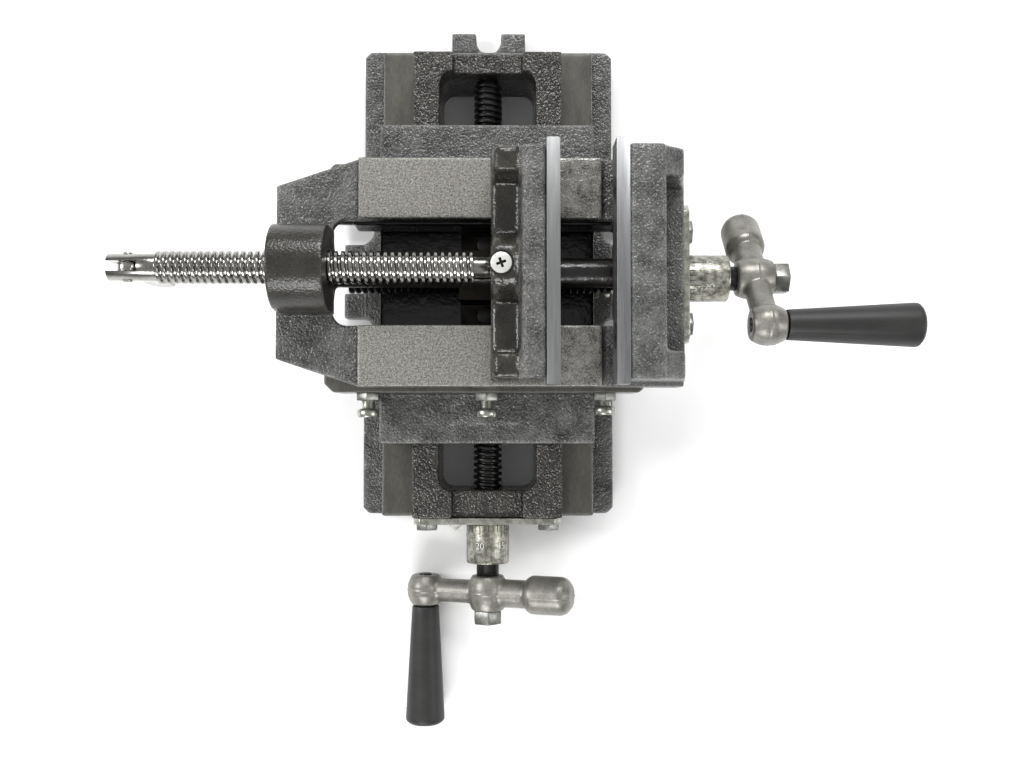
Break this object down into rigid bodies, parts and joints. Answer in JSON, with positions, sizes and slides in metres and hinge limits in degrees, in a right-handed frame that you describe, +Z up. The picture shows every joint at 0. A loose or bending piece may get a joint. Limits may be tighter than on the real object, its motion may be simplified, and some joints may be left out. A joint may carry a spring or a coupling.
{
  "type": "cross slide vise",
  "caption": "Cross slide vise: screw-driven jaw on a body that slides across a saddle, the saddle sliding along a slotted base, each on dovetail ways with a ball crank and dial.",
  "frame": {"origin": "centre of the base underside", "axes": "+X along the jaw screw from its lever to the fixed jaw, +Y along the base ways away from the front crank, +Z up from the table"},
  "size_m": [0.3468, 0.3504, 0.12],
  "materials": {
    "cast_paint": "semi-gloss enamel on rough cast iron, ways and bed machined bare",
    "jaw_steel": "ground steel, brushed along its length",
    "zinc_plate": "bright zinc plate",
    "black_steel": "black oxide, oiled",
    "bright_steel": "bright nickel plate",
    "dial_zinc": "die cast, as cast",
    "crank_cast": "die cast, tumbled satin",
    "grip_plastic": "moulded, matte",
    "nut_bronze": "machined",
    "gib_steel": "ground"
  },
  "bodies": {
    "base": {"base_casting": "cast_paint", "y_end_plate": "zinc_plate", "y_plate_bolts": "zinc_plate"},
    "y_crank": {"y_lead_screw": "black_steel", "y_dial": "dial_zinc", "y_crank_arm": "crank_cast", "y_crank_nut": "zinc_plate", "y_grip_spindle": "black_steel"},
    "y_handle": {"y_grip": "grip_plastic"},
    "saddle": {"saddle_casting": "cast_paint", "y_nut": "nut_bronze", "y_nut_screws": "black_steel", "x_nut": "nut_bronze", "x_nut_screws": "black_steel", "y_gib": "gib_steel", "y_gib_screws": "zinc_plate", "y_gib_locknuts": "zinc_plate", "x_gib": "gib_steel", "x_gib_screws": "zinc_plate", "x_gib_locknuts": "zinc_plate"},
    "vise_body": {"vise_body_casting": "cast_paint", "fixed_jaw_plate": "jaw_steel", "fixed_jaw_screws": "black_steel", "x_end_plate": "zinc_plate", "x_plate_bolts": "zinc_plate"},
    "x_crank": {"x_lead_screw": "black_steel", "x_dial": "dial_zinc", "x_crank_arm": "crank_cast", "x_crank_nut": "zinc_plate", "x_grip_spindle": "black_steel"},
    "x_handle": {"x_grip": "grip_plastic"},
    "movable_jaw": {"movable_jaw_casting": "cast_paint", "movable_jaw_plate": "jaw_steel", "movable_jaw_screws": "black_steel", "jaw_keepers": "gib_steel", "keeper_screws": "zinc_plate", "jaw_retaining_screw": "zinc_plate"},
    "jaw_spindle": {"jaw_screw": "bright_steel", "lever_pin": "zinc_plate"},
    "jaw_lever": {"jaw_lever": "bright_steel"}
  },
  "joints": [
    {"name": "y_slide", "type": "slide", "parent": "base", "child": "saddle", "axis": [0, 1, 0], "range_m": [-0.036, 0.039]},
    {"name": "y_crank_turn", "type": "hinge", "parent": "base", "child": "y_crank", "pos_m": [0, -0.118, 0.022], "axis": [0, 1, 0], "range_deg": [-4321, 4681]},
    {"name": "y_grip_spin", "type": "hinge", "parent": "y_crank", "child": "y_handle", "pos_m": [-0.03139, -0.2, 0.0118], "axis": [0, 1, 0], "continuous": true},
    {"name": "x_slide", "type": "slide", "parent": "saddle", "child": "vise_body", "axis": [1, 0, 0], "range_m": [-0.033, 0.045]},
    {"name": "x_crank_turn", "type": "hinge", "parent": "vise_body", "child": "x_crank", "pos_m": [0.0865, -0.0064, 0.066], "axis": [1, 0, 0], "range_deg": [-3961, 5401]},
    {"name": "x_grip_spin", "type": "hinge", "parent": "x_crank", "child": "x_handle", "pos_m": [0.16, -0.02974, 0.08933], "axis": [1, 0, 0], "continuous": true},
    {"name": "jaw_slide", "type": "slide", "parent": "vise_body", "child": "movable_jaw", "axis": [1, 0, 0], "range_m": [-0.054, 0.0225]},
    {"name": "jaw_screw_turn", "type": "hinge", "parent": "movable_jaw", "child": "jaw_spindle", "pos_m": [-0.07, -0.0064, 0.09805], "axis": [1, 0, 0], "range_deg": [-6481, 2701]},
    {"name": "lever_fold", "type": "hinge", "parent": "jaw_spindle", "child": "jaw_lever", "pos_m": [-0.151, -0.0064, 0.09805], "axis": [0, 1, 0], "range_deg": [0, 180]}
  ],
  "couplings": [
    {"joint": "y_crank_turn", "follows": "y_slide", "rad_per_m": 2094.4},
    {"joint": "x_crank_turn", "follows": "x_slide", "rad_per_m": 2094.4},
    {"joint": "jaw_screw_turn", "follows": "jaw_slide", "rad_per_m": 2094.4}
  ]
}
